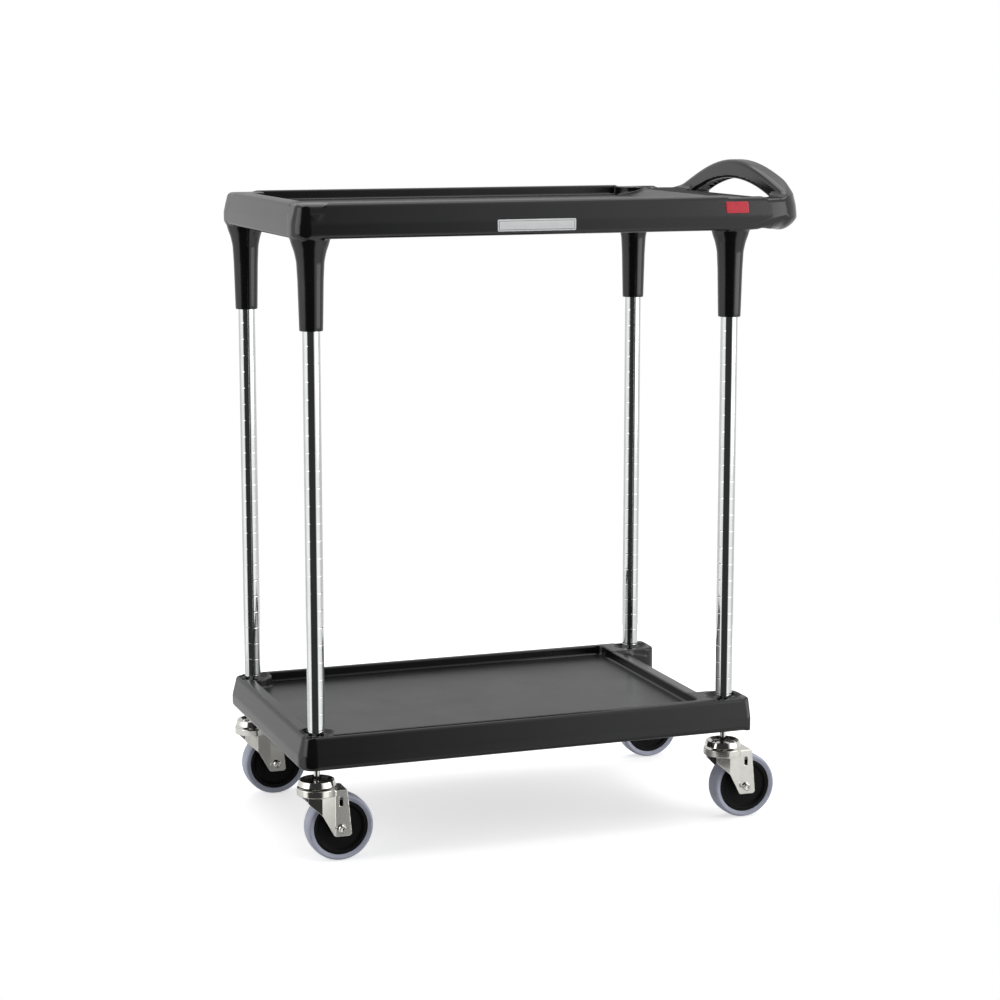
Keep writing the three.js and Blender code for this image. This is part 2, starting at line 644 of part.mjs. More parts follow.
function casterParts({ name, x, y }) {
  const head = LEG_OUTER_Y + FIT_GAP;
  const bolt = [
    [0, -head - 5],
    [4.5, -head - 4.5],
    [6.5, -head - 2.5],
    [6.5, -head],
    [AXLE_RADIUS, -head],
    [AXLE_RADIUS, head + 9],
    [0, head + 9],
  ];
  const nutBore = hexBore(AXLE_RADIUS);
  const nut = [[nutBore, head], [7.5, head], [7.5, head + 6.5], [nutBore, head + 6.5], [nutBore, head]];
  const hub = mirrored([
    [BUSH_RADIUS + 0.5, -15.2],
    [11, -15.2],
    [13, -9],
    [33, -9],
    [36, -13],
    [TYRE_SEAT - FIT_GAP, -13],
  ]);
  const tyre = mirrored([[TYRE_SEAT, -13], [46, -TYRE_HALF_WIDTH], [49, -12], [WHEEL_RADIUS, -6]]);
  const bushBore = AXLE_RADIUS + FIT_GAP;
  const bushEnd = LEG_INNER_Y - FIT_GAP;
  const bush = [
    [bushBore, -bushEnd],
    [BUSH_RADIUS, -bushEnd],
    [BUSH_RADIUS, bushEnd],
    [bushBore, bushEnd],
    [bushBore, -bushEnd],
  ];
  const nutTopZ = CROWN_FOOT_Z - FIT_GAP;
  const kingpinNut = ring(hexBore(STEM_RADIUS - 0.5), 7.6, nutTopZ - KINGPIN_NUT_HEIGHT, nutTopZ, 6);
  const bearing = ring(9, 17.5, CROWN_TOP_Z - 2 + FIT_GAP, RACE_BOTTOM_Z + 1 - FIT_GAP, 16);
  const upright = [
    part(`caster_stem_${name}`, stemGeometry(), COLOURS.zinc),
    part(`kingpin_nut_${name}`, kingpinNut, COLOURS.steel),
    part(`swivel_bearing_${name}`, bearing, COLOURS.steel),
    part(`fork_${name}`, forkGeometry(), COLOURS.zinc),
  ];
  const onAxle = [
    part(`axle_bolt_${name}`, turnedOnAxle(bolt, 10), COLOURS.zinc),
    part(`axle_nut_${name}`, turnedOnAxle(nut, 6), COLOURS.zinc),
    part(`axle_bush_${name}`, turnedOnAxle(bush, 12), COLOURS.steel),
    part(`wheel_hub_${name}`, turnedOnAxle(hub, WHEEL_SEGMENTS), COLOURS.hub),
    part(`tyre_${name}`, turnedOnAxle(tyre, WHEEL_SEGMENTS), COLOURS.tyre),
  ];
  for (const mesh of onAxle) mesh.position.set(TRAIL, 0, WHEEL_RADIUS);
  const caster = new THREE.Group();
  caster.position.set(x, y, 0);
  caster.add(...upright, ...onAxle);
  return caster;
}

// ---------- Assembly ----------

const group = new THREE.Group();
group.add(lowerTray(), upperTray(), part('label', labelBlock(0), COLOURS.label), badge());
for (const corner of CORNERS) {
  group.add(...postParts(corner), casterParts(corner));
}

export default group;
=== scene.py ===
"""Looks of a two-shelf service trolley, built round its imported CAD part.

The frame is in metres, +Z up and +X to the handle. Shapes are worked out in millimetres.
"""
import math
import bmesh
import bpy
import numpy as np
from mathutils import Matrix, Vector


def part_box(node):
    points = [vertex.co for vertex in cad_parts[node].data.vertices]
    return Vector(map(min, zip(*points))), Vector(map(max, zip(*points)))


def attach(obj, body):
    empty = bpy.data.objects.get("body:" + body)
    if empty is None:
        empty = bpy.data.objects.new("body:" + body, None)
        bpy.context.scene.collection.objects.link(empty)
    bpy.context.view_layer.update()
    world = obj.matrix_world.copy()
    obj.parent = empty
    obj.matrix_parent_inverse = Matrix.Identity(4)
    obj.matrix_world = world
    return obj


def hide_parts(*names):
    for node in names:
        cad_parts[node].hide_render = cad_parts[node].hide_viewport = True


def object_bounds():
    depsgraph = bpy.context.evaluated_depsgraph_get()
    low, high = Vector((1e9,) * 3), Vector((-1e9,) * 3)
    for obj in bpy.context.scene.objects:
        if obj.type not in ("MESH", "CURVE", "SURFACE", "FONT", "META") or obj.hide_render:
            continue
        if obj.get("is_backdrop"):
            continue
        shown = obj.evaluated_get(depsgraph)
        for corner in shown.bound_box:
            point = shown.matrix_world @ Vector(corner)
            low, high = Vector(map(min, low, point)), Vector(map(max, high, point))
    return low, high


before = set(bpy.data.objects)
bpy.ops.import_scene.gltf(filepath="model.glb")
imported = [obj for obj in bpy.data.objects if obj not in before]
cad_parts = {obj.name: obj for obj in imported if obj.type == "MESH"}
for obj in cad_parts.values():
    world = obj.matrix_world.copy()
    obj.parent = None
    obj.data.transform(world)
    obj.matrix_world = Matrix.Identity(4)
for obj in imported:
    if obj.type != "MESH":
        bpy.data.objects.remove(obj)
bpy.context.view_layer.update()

MM = 0.001
CORNERS = ("front_left", "front_right", "rear_left", "rear_right")


def box_mm(node):
    """The low and high corners of a CAD node, in millimetres."""
    low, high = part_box(node)
    return np.array(low) / MM, np.array(high) / MM


POST = {}
for corner in CORNERS:
    low, high = box_mm(f"post_{corner}")
    POST[corner] = (low + high) / 2
POST_X0 = POST["front_left"][0]
POST_X1 = POST["rear_left"][0]
POST_Y = POST["front_right"][1]
POST_FOOT, POST_TOP = (v[2] for v in box_mm("post_front_left"))

upper_low, upper_high = box_mm("upper_tray")
lower_low, lower_high = box_mm("lower_tray")
FRONT, HANDLE_END = upper_low[0], upper_high[0]
LOWER_END = lower_high[0]
SLEEVE_FOOT, HANDLE_TOP = upper_low[2], upper_high[2]
LOWER_FOOT = lower_low[2]
TRAY_HEIGHT = lower_high[2] - lower_low[2]
UPPER_FOOT = 905.0
UPPER_RIM = UPPER_FOOT + TRAY_HEIGHT
LOWER_RIM = LOWER_FOOT + TRAY_HEIGHT
HALF_WIDTH = upper_high[1] - 0.3
DECK_DEPTH = 15.0
DECK_THICKNESS = 5.0
PLATFORM_DROP = 5
UPPER_DECK = UPPER_RIM - DECK_DEPTH
LOWER_DECK = LOWER_RIM - DECK_DEPTH
UPPER_ROOF = UPPER_DECK - DECK_THICKNESS
LOWER_ROOF = LOWER_DECK - DECK_THICKNESS


# ---------- Smooth solids as distance fields, and the skin drawn over them ----------

def rectangle(x, y, x0, x1, half, r):
    """Distance to a rectangle from x0 to x1 and half wide each way, with corners of radius r."""
    qx = np.abs(x - (x0 + x1) / 2) - (x1 - x0) / 2 + r
    qy = np.abs(y) - half + r
    return np.minimum(np.maximum(qx, qy), 0) + np.hypot(np.maximum(qx, 0), np.maximum(qy, 0)) - r


def meet(a, b, r):
    """What is in both, with its new edges rounded."""
    return np.minimum(-r, np.maximum(a, b)) + np.hypot(np.maximum(a + r, 0), np.maximum(b + r, 0))


def merge(a, b, r):
    """Both together, with a fillet between them."""
    return np.maximum(r, np.minimum(a, b)) - np.hypot(np.maximum(r - a, 0), np.maximum(r - b, 0))


def carve(a, b, r):
    """The first without the second, with its new edges rounded."""
    return meet(a, -b, r)


def from_posts(x, y):
    """Distance from the nearest post's middle line."""
    return np.minimum(
        np.hypot(x - POST_X0, np.abs(y) - POST_Y),
        np.hypot(x - POST_X1, np.abs(y) - POST_Y),
    )


def smooth_step(t):
    """Nought below 0 and one above 1, with a smooth rise between."""
    t = np.clip(t, 0, 1)
    return t * t * (3 - 2 * t)


def eased(table, width):
    """A curve through [position, value] pairs with its corners eased over width."""
    at, value = np.array(table, float).T
    grid = np.arange(at[0] - 3 * width, at[-1] + 3 * width, 0.25)
    line = np.interp(grid, at, value)
    window = np.hanning(int(width / 0.25) * 2 + 1)
    line = np.convolve(np.pad(line, len(window) // 2, "edge"), window / window.sum(), "valid")
    return lambda t: np.interp(t, grid, line)


def outline_distance(u, v, corners, radius):
    """Distance to a closed outline with its outer corners rounded. Corners run anticlockwise."""
    p = np.array(corners, float)
    ahead = np.roll(p, -1, 0) - p
    ahead /= np.linalg.norm(ahead, axis=1)[:, None]
    normal = np.stack([ahead[:, 1], -ahead[:, 0]], 1)
    before = np.roll(normal, 1, 0)
    p = p - radius * (normal + before) / (1 + (normal * before).sum(1))[:, None]
    nearest = np.full(np.shape(u), np.inf)
    inside = np.zeros(np.shape(u), bool)
    for (ax, ay), (bx, by) in zip(p, np.roll(p, -1, 0)):
        ex, ey = bx - ax, by - ay
        wx, wy = u - ax, v - ay
        t = np.clip((wx * ex + wy * ey) / (ex * ex + ey * ey), 0, 1)
        nearest = np.minimum(nearest, np.hypot(wx - t * ex, wy - t * ey))
        crosses = ((ay > v) != (by > v)) & (wx < ex * wy / (ey if ey else 1e-9))
        inside ^= crosses
    return np.where(inside, -nearest, nearest) - radius


def grid_lines(start, *stretches):
    """Grid lines from start, in stretches given as step, end, step, end."""
    out = [float(start)]
    for step, end in zip(stretches[::2], stretches[1::2]):
        count = max(1, round((end - out[-1]) / step))
        out.extend(np.linspace(out[-1], end, count + 1)[1:])
    return np.array(out)


def gradient(field, p, step):
    """The slope of a field at each point, by central differences."""
    g = np.empty_like(p)
    for axis in range(3):
        q, r = p.copy(), p.copy()
        q[:, axis] += step
        r[:, axis] -= step
        g[:, axis] = (field(*q.T) - field(*r.T)) / (2 * step)
    return g


def skin(name, field, xs, ys, zs):
    """A quad mesh over the surface of a field in millimetres, with its normals taken from the field."""
    grid = np.stack(np.meshgrid(xs, ys, zs, indexing="ij"), -1)
    f = field(grid[..., 0], grid[..., 1], grid[..., 2])
    size = np.array(f.shape)
    total = np.zeros((*(size - 1), 3))
    hits = np.zeros(size - 1)
    edges = []
    for axis, (u, v) in enumerate(((1, 2), (2, 0), (0, 1))):
        low, high = [slice(None)] * 3, [slice(None)] * 3
        low[axis], high[axis] = slice(0, -1), slice(1, None)
        a, b = f[tuple(low)], f[tuple(high)]
        crossing = (a < 0) != (b < 0)
        t = np.where(crossing, a / np.where(crossing, a - b, 1), 0)
        start = grid[tuple(low)]
        point = (start + t[..., None] * (grid[tuple(high)] - start)) * crossing[..., None]
        for du in (0, 1):
            for dv in (0, 1):
                part = [slice(None)] * 3
                part[u] = slice(du, du + size[u] - 1)
                part[v] = slice(dv, dv + size[v] - 1)
                total += point[tuple(part)]
                hits += crossing[tuple(part)]
        edges.append((axis, u, v, crossing, a < 0))
    used = hits > 0
    ids = np.full(used.shape, -1)
    ids[used] = np.arange(used.sum())
    p = total[used] / hits[used][:, None]
    quads = []
    for axis, u, v, crossing, outwards in edges:
        core = [slice(None)] * 3
        core[u] = core[v] = slice(1, -1)
        at = np.array(np.nonzero(crossing[tuple(core)]))
        at[u] += 1
        at[v] += 1
        ring = []
        for du, dv in ((1, 1), (0, 1), (0, 0), (1, 0)):
            cell = at.copy()
            cell[u] -= du
            cell[v] -= dv
            ring.append(ids[tuple(cell)])
        ring = np.stack(ring, 1)
        turned = ~outwards[tuple(at)]
        ring[turned] = ring[turned][:, ::-1]
        quads.append(ring)
    quads = np.concatenate(quads)
    for _ in range(4):
        g = gradient(field, p, 0.05)
        move = field(*p.T) / np.maximum((g * g).sum(1), 0.2)
        p -= np.clip(move, -1, 1)[:, None] * g
    normal = gradient(field, p, 0.3)
    normal /= np.maximum(np.linalg.norm(normal, axis=1), 1e-9)[:, None]
    mesh = bpy.data.meshes.new(name)
    mesh.from_pydata((p * MM).tolist(), [], quads.tolist())
    mesh.shade_smooth()
    mesh.normals_split_custom_set_from_vertices(normal.tolist())
    return add(name, mesh)


# ---------- Turned and bevelled pieces ----------

def add(name, mesh):
    """A new object in the scene, holding the mesh."""
    obj = bpy.data.objects.new(name, mesh)
    bpy.context.scene.collection.objects.link(obj)
    return obj


def softened(profile, radius, steps=3, loop=False):
    """A profile with its corners turned into small curves."""
    p = [np.array(q, float) for q in profile]
    out = []
    for i, here in enumerate(p):
        if not loop and i in (0, len(p) - 1):
            out.append(here)
            continue
        before, after = p[i - 1], p[(i + 1) % len(p)]
        a, b = before - here, after - here
        cut = min(radius, 0.45 * np.linalg.norm(a), 0.45 * np.linalg.norm(b))
        a = here + a / np.linalg.norm(a) * cut
        b = here + b / np.linalg.norm(b) * cut
        for k in range(steps + 1):
            t = k / steps
            out.append((1 - t) ** 2 * a + 2 * t * (1 - t) * here + t * t * b)
    return out


def turned(name, profile, segments=64, loop=False, along_y=False, ripple=None):
    """A piece turned about the Z line, or about the Y line. The profile holds radius and height."""
    points, faces, rings = [], [], []
    for radius, height in profile:
        if radius < 1e-6:
            rings.append([len(points)] * segments)
            points.append((0, 0, height))
            continue
        rings.append(range(len(points), len(points) + segments))
        for i in range(segments):
            angle = 2 * math.pi * i / segments
            r = ripple(radius, height, angle) if ripple else radius
            points.append((r * math.cos(angle), r * math.sin(angle), height))
    count = len(rings)
    for k in range(count if loop else count - 1):
        low, high = rings[k], rings[(k + 1) % count]
        for i in range(segments):
            j = (i + 1) % segments
            corner = []
            for index in (low[i], low[j], high[j], high[i]):
                if index not in corner:
                    corner.append(index)
            if len(corner) > 2:
                faces.append(corner)
    p = np.array(points)
    if along_y:
        p = np.stack([p[:, 0], p[:, 2], -p[:, 1]], 1)
    return smooth_piece(name, p, faces)


def smooth_piece(name, points, faces, angle=40):
    """A smooth mesh in millimetres that stays sharp at edges steeper than the angle in degrees."""
    mesh = bpy.data.meshes.new(name)
    mesh.from_pydata((np.array(points) * MM).tolist(), [], [list(map(int, f)) for f in faces])
    mesh.validate()
    mesh.shade_smooth()
    mesh.set_sharp_from_angle(angle=math.radians(angle))
    obj = add(name, mesh)
    fix_outward(mesh)
    weighted = obj.modifiers.new("weighted", "WEIGHTED_NORMAL")
    weighted.keep_sharp = True
    return obj


def fix_outward(mesh):
    """Turns every face to look out of its solid."""
    work = bmesh.new()
    work.from_mesh(mesh)
    bmesh.ops.recalc_face_normals(work, faces=work.faces)
    work.to_mesh(mesh)
    work.free()


def blocks(name, boxes, bevel):
    """Several bevelled boxes in one mesh, each given as low corner, high corner and taper."""
    points, faces = [], []
    for low, high, taper in boxes:
        base = len(points)
        for z, inset in ((low[2], taper), (high[2], 0)):
            points += [
                (low[0] + inset, low[1] + inset, z),
                (high[0] - inset, low[1] + inset, z),
                (high[0] - inset, high[1] - inset, z),
                (low[0] + inset, high[1] - inset, z),
            ]
        for quad in ((0, 3, 2, 1), (4, 5, 6, 7), (0, 1, 5, 4), (1, 2, 6, 5), (2, 3, 7, 6), (3, 0, 4, 7)):
            faces.append([base + k for k in quad])
    mesh = bpy.data.meshes.new(name)
    mesh.from_pydata((np.array(points) * MM).tolist(), [], faces)
    mesh.shade_smooth()
    obj = add(name, mesh)
    rounding = obj.modifiers.new("bevel", "BEVEL")
    rounding.width = bevel * MM
    rounding.segments = 2
    weighted = obj.modifiers.new("weighted", "WEIGHTED_NORMAL")
    weighted.keep_sharp = True
    return obj


def settle(obj, body, material, slot, *nodes, at=None):
    """Puts a piece in place, gives it its finish and ties it to its body."""
    if at is not None:
        obj.data.transform(Matrix.Translation(Vector([float(v) * MM for v in at])))
    obj.data.materials.clear()
    obj.data.materials.append(material)
    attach(obj, body)
    if nodes:
        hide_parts(*nodes)
    return obj


# ---------- Materials ----------

class Finish:
    """A small helper round one Principled material."""

    def __init__(self, name, **sockets):
        self.material = bpy.data.materials.new(name)
        self.material.use_nodes = True
        self.tree = self.material.node_tree
        self.shader = self.tree.nodes["Principled BSDF"]
        self.place = self.node("ShaderNodeTexCoord").outputs["Object"]
        for key, value in sockets.items():
            self.shader.inputs[key.replace("_", " ")].default_value = value

    def node(self, kind, **settings):
        made = self.tree.nodes.new(kind)
        for key, value in settings.items():
            setattr(made, key, value)
        return made

    def link(self, a, b):
        self.tree.links.new(a, b)

    def noise(self, scale, detail=3.0, roughness=0.5, stretch=None):
        made = self.node("ShaderNodeTexNoise")
        made.inputs["Scale"].default_value = scale
        made.inputs["Detail"].default_value = detail
        made.inputs["Roughness"].default_value = roughness
        source = self.place
        if stretch:
            mapping = self.node("ShaderNodeMapping")
            mapping.inputs["Scale"].default_value = stretch
            self.link(source, mapping.inputs["Vector"])
            source = mapping.outputs["Vector"]
        self.link(source, made.inputs["Vector"])
        return made.outputs["Fac"]

    def voronoi(self, scale, feature="F1"):
        made = self.node("ShaderNodeTexVoronoi", feature=feature)
        made.inputs["Scale"].default_value = scale
        self.link(self.place, made.inputs["Vector"])
        return made.outputs["Distance"]

    def ramp(self, value, *stops):
        made = self.node("ShaderNodeValToRGB")
        elements = made.color_ramp.elements
        for i, (position, level) in enumerate(stops):
            element = elements[i] if i < 2 else elements.new(position)
            element.position = position
            element.color = (level, level, level, 1)
        self.link(value, made.inputs["Fac"])
        return made.outputs["Color"]

    def fit(self, value, a, b, c, d):
        made = self.node("ShaderNodeMapRange")
        for key, number in zip(("From Min", "From Max", "To Min", "To Max"), (a, b, c, d)):
            made.inputs[key].default_value = number
        self.link(value, made.inputs["Value"])
        return made.outputs["Result"]

    def math(self, operation, a, b):
        made = self.node("ShaderNodeMath", operation=operation)
        for i, value in enumerate((a, b)):
            if isinstance(value, (int, float)):
                made.inputs[i].default_value = value
            else:
                self.link(value, made.inputs[i])
        return made.outputs[0]

    def mix(self, factor, a, b):
        made = self.node("ShaderNodeMix", data_type="RGBA")
        for socket, value in ((made.inputs["Factor"], factor), (made.inputs[6], a), (made.inputs[7], b)):
            if isinstance(value, tuple):
                socket.default_value = (*value, 1)
            elif isinstance(value, (int, float)):
                socket.default_value = value
            else:
                self.link(value, socket)
        return made.outputs[2]

    def tops(self):
        """One on faces that look up, nought on the sides."""
        split = self.node("ShaderNodeSeparateXYZ")
        self.link(self.node("ShaderNodeNewGeometry").outputs["Normal"], split.inputs[0])
        return self.fit(split.outputs[2], 0.85, 0.97, 0, 1)

    def platform(self):
        """One on the storage platform in front of the handle, nought elsewhere."""
        split = self.node("ShaderNodeSeparateXYZ")
        self.link(self.place, split.inputs[0])
        along = self.fit(split.outputs[0], (POST_X1 + 3) * MM, (POST_X1 + 8) * MM, 0, 1)
        above = self.fit(split.outputs[2], (UPPER_RIM - 9) * MM, (UPPER_RIM - 7) * MM, 0, 1)
        below = self.fit(split.outputs[2], UPPER_RIM * MM, (UPPER_RIM + 5) * MM, 1, 0)
        placed = self.math("MULTIPLY", along, above)
        facing = self.math("MULTIPLY", below, self.tops())
        return self.math("MULTIPLY", placed, facing)

    def edges(self, low, high):
        made = self.node("ShaderNodeNewGeometry")
        return self.fit(made.outputs["Pointiness"], low, high, 0, 1)

    def colour(self, value):
        self.link(value, self.shader.inputs["Base Color"])
        return self

    def roughness(self, value):
        self.link(value, self.shader.inputs["Roughness"])
        return self

    def bump(self, *layers):
        """Layers are height, strength and distance in metres, the coarsest first."""
        last = None
        for height, strength, distance in layers:
            made = self.node("ShaderNodeBump")
            made.inputs["Strength"].default_value = strength
            made.inputs["Distance"].default_value = distance
            self.link(height, made.inputs["Height"])
            if last is not None:
                self.link(last, made.inputs["Normal"])
            last = made.outputs["Normal"]
        self.link(last, self.shader.inputs["Normal"])
        return self


def moulded(name, dark, light, scale, rough, top=0.0, shine=0.5):
    """Moulded plastic: fine grain, faint flow marks and paler scuffs on its edges.

    Faces that look up are rougher by top. Where top is given, the storage platform is also more matt.
    """
    f = Finish(name, IOR=1.5, Specular_IOR_Level=shine)
    broad = f.noise(6 * scale, 4, 0.6)
    grain = f.noise(1400 * scale, 2, 0.5)
    scuff = f.noise(190 * scale, 5, 0.7)
    body = f.mix(f.fit(broad, 0.3, 0.7, 0, 1), dark, light)
    worn = f.math("MULTIPLY", f.edges(0.53, 0.65), f.fit(scuff, 0.5, 0.72, 0, 1))
    f.colour(f.mix(f.math("MULTIPLY", worn, 0.4), body, tuple(min(1, 3 * c + 0.02) for c in light)))
    handled = f.fit(f.noise(9 * scale, 5, 0.6), 0.35, 0.7, rough - 0.02, rough + 0.04)
    handled = f.math("ADD", handled, f.fit(scuff, 0.6, 0.8, 0, 0.06))
    handled = f.math("ADD", handled, f.math("MULTIPLY", f.tops(), top))
    if top:
        matt = f.platform()
        handled = f.math("ADD", handled, f.math("MULTIPLY", matt, 0.3))
        duller = f.math("SUBTRACT", shine, f.math("MULTIPLY", matt, 0.38))
        f.link(duller, f.shader.inputs["Specular IOR Level"])
    f.roughness(handled)
    f.bump((f.noise(22 * scale, 2), 0.05, 0.0004), (grain, 0.15, 0.0001))
    return f.material


def plated(name, colour, rough, spots, tint):
    """Plated metal: bright, with faint clouding, fine scratches and a little dulling."""
    f = Finish(name, Metallic=1.0)
    cloud = f.noise(26 * spots, 4, 0.55)
    fine = f.noise(900, 2, 0.5, (1, 1, 0.05))
    f.colour(f.mix(f.fit(cloud, 0.35, 0.7, 0, 1), colour, tint))
    clouded = f.fit(cloud, 0.3, 0.75, rough, rough * 1.7 + 0.02)
    f.roughness(f.math("ADD", clouded, f.fit(fine, 0.4, 0.7, 0, 0.03)))
    f.bump((f.voronoi(120 * spots, "SMOOTH_F1"), 0.05, 0.0003), (fine, 0.05, 0.00005))
    return f.material


def rubber():
    """Grey tyre rubber with a little dark dust in it."""
    f = Finish("tyre_rubber", IOR=1.45)
    cloud = f.noise(45, 4, 0.6)
    dust = f.noise(420, 4, 0.7)
    tone = f.mix(f.fit(cloud, 0.3, 0.7, 0, 1), (0.41, 0.43, 0.53), (0.5, 0.52, 0.63))
    tone = f.mix(f.fit(dust, 0.55, 0.75, 0, 0.25), tone, (0.2, 0.19, 0.2))
    f.colour(tone).roughness(f.fit(cloud, 0.3, 0.7, 0.42, 0.58))
    f.bump((f.noise(700, 3), 0.2, 0.00015))
    return f.material


def film():
    """A blank printed label: pale film with a thin grey frame a little inside its edge."""
    f = Finish("label_film", IOR=1.46, Roughness=0.35)
    low, high = box_mm("label")
    middle, half = (low + high) / 2 * MM, (high - low) / 2 * MM
    split = f.node("ShaderNodeSeparateXYZ")
    f.link(f.place, split.inputs[0])
    across = f.math("ABSOLUTE", f.math("SUBTRACT", split.outputs[0], float(middle[0])), 0)
    up = f.math("ABSOLUTE", f.math("SUBTRACT", split.outputs[2], float(middle[2])), 0)
    margin = 0.0022
    reach = f.math(
        "MAXIMUM",
        f.math("SUBTRACT", across, float(half[0]) - margin),
        f.math("SUBTRACT", up, float(half[2]) - margin),
    )
    line = f.ramp(f.fit(reach, -0.0012, 0.0012, 0, 1), (0.28, 0.0), (0.34, 1.0), (0.62, 1.0), (0.68, 0.0))
    paper = f.mix(f.fit(f.noise(60, 4), 0.3, 0.7, 0, 1), (0.88, 0.89, 0.9), (0.94, 0.95, 0.95))
    f.colour(f.mix(line, paper, (0.3, 0.33, 0.35)))
    f.roughness(f.fit(f.noise(90, 4), 0.3, 0.7, 0.28, 0.42))
    f.bump((f.noise(500, 2), 0.08, 0.00005))
    return f.material


def enamel():
    """The plain red of the badge."""
    f = Finish("badge_plastic", IOR=1.45, Coat_Weight=0.15, Coat_Roughness=0.1)
    cloud = f.noise(300, 3)
    f.colour(f.mix(f.fit(cloud, 0.3, 0.7, 0, 1), (0.66, 0.008, 0.03), (0.74, 0.016, 0.045)))
    f.roughness(f.fit(cloud, 0.3, 0.7, 0.25, 0.36))
    f.bump((f.noise(1500, 2), 0.08, 0.00005))
    return f.material


TRAY = moulded("tray_plastic", (0.005, 0.0052, 0.0053), (0.0075, 0.0077, 0.0078), 1, 0.14, top=0.17)
HUB = moulded("hub_plastic", (0.002, 0.0021, 0.0024), (0.004, 0.0042, 0.0045), 3, 0.5, shine=0.15)
BLACK = moulded("black_plastic", (0.008, 0.008, 0.0085), (0.014, 0.014, 0.0145), 3, 0.5)
CHROME = plated("post_chrome", (0.78, 0.8, 0.795), 0.05, 1, (0.7, 0.725, 0.715))
ZINC = plated("zinc_plate", (0.86, 0.85, 0.8), 0.1, 3, (0.78, 0.77, 0.71))
BRIGHT = plated("bright_zinc_plate", (0.86, 0.85, 0.81), 0.07, 3, (0.78, 0.77, 0.73))
STEEL = plated("steel", (0.6, 0.6, 0.59), 0.28, 3, (0.5, 0.49, 0.47))
RUBBER = rubber()
FILM = film()
ENAMEL = enamel()


# ---------- Trays ----------

SKIRT_LEAN = eased([[-100, 0], [20, 0], [TRAY_HEIGHT, 7.5], [TRAY_HEIGHT + 60, 22]], 5)
HANDLE_LEAN = eased([[-100, 0], [34, 0], [TRAY_HEIGHT, 1.6], [107, 5]], 5)
NOSE_GROWTH = eased([[-100, 0], [34, 0], [TRAY_HEIGHT, 3], [61, 14], [107, 20]], 5)
SLEEVE_SIDE = eased(
    [
        [-200, 17], [SLEEVE_FOOT - UPPER_FOOT, 17], [-57, 18.7], [-32, 20], [-18, 23],
        [-8.5, 26.5], [2, 29.3], [20, 29],
    ],
    6,
)
UPPER_FLOOR = eased(
    [
        [-600, UPPER_DECK], [POST_X1 - 31, UPPER_DECK],
        [POST_X1 + 3, UPPER_RIM - PLATFORM_DROP], [600, UPPER_RIM - PLATFORM_DROP],
    ],
    4,
)
EDGE = 2.2
OUTER_EDGE = 6.0
SKIN_GAP = 0.15
CORNER_RADIUS = 24
NOSE_RADIUS = 64
REAR_RADIUS = 8
FOOT_EDGE = 8
NOSE_EDGE = 23
NOSE_START, NOSE_RUN = 295, 75
REAR_START = 300
REAR_LEAN = 0.15
RECESS_START = FRONT + 27
RECESS_HALF = 198
WALL_SLOPE = 0.05
PAD_RADIUS = 30
UPPER_BOSS, LOWER_BOSS = 28, 30
SHELL_FOOT = SLEEVE_FOOT + 70
SLEEVE_BORE = 13.3
LOCK_TOP = SLEEVE_FOOT + 43.3


def recess(x, y, z, x0, x1, rim, floor):
    """The sunk deck, whose walls slope and go round the pads over the posts."""
    wall = rectangle(x, y, x0, x1, RECESS_HALF, 12) + (rim - z) * WALL_SLOPE
    hollow = meet(wall, floor - z, 3)
    return carve(hollow, from_posts(x, y) - PAD_RADIUS, 3)


def underside(x, y, z, x1, roof, boss):
    """The hollow under a deck, which goes round the bosses under the posts."""
    x0, x1 = FRONT + 8, x1 - 8
    r = np.where(x > (x0 + x1) / 2, 9, 16)
    hollow = meet(rectangle(x, y, x0, x1, 210, r), z - roof, 4)
    return carve(hollow, from_posts(x, y) - boss, 4)


ARCH_SPAN = 210.0
ARCH_POWER = 1.1
ARM_Y = 150.0
PLATFORM_END = POST_X1 + 66
ARCH_FRONT = HANDLE_END - 32
ARCH_DEPTH = 29
ARCH_BEND = 0.0013
PAD_DROP, PAD_REACH = 2, 31
REAR_DROP = 3
REAR_DROP_START, REAR_DROP_RUN = POST_X1 + 40, 10
CHANNEL_X = ARCH_FRONT + 15.5
CHANNEL_WIDTH, CHANNEL_DEPTH, CHANNEL_REACH = 20, 9, 132
SLEEVE_STEEPNESS = 1.04
DISH_DEPTH = 8
LIP_SLOPE = 0.25
POST_SOCKET, STEM_HOLE = 13.0, 4.8


def arch_turn(y):
    """How far along its curve the arch is at y, as an angle."""
    return np.clip(y / ARCH_SPAN, -0.9999, 0.9999) * math.pi / 2


def arch_top(y):
    """Height of the top of the handle."""
    low = UPPER_RIM - PLATFORM_DROP
    return low + (HANDLE_TOP - low) * np.cos(arch_turn(y)) ** ARCH_POWER


def arch_foot(y):
    """Height of the underside of the handle."""
    return HANDLE_TOP - ARCH_DEPTH - ARCH_BEND * y * y


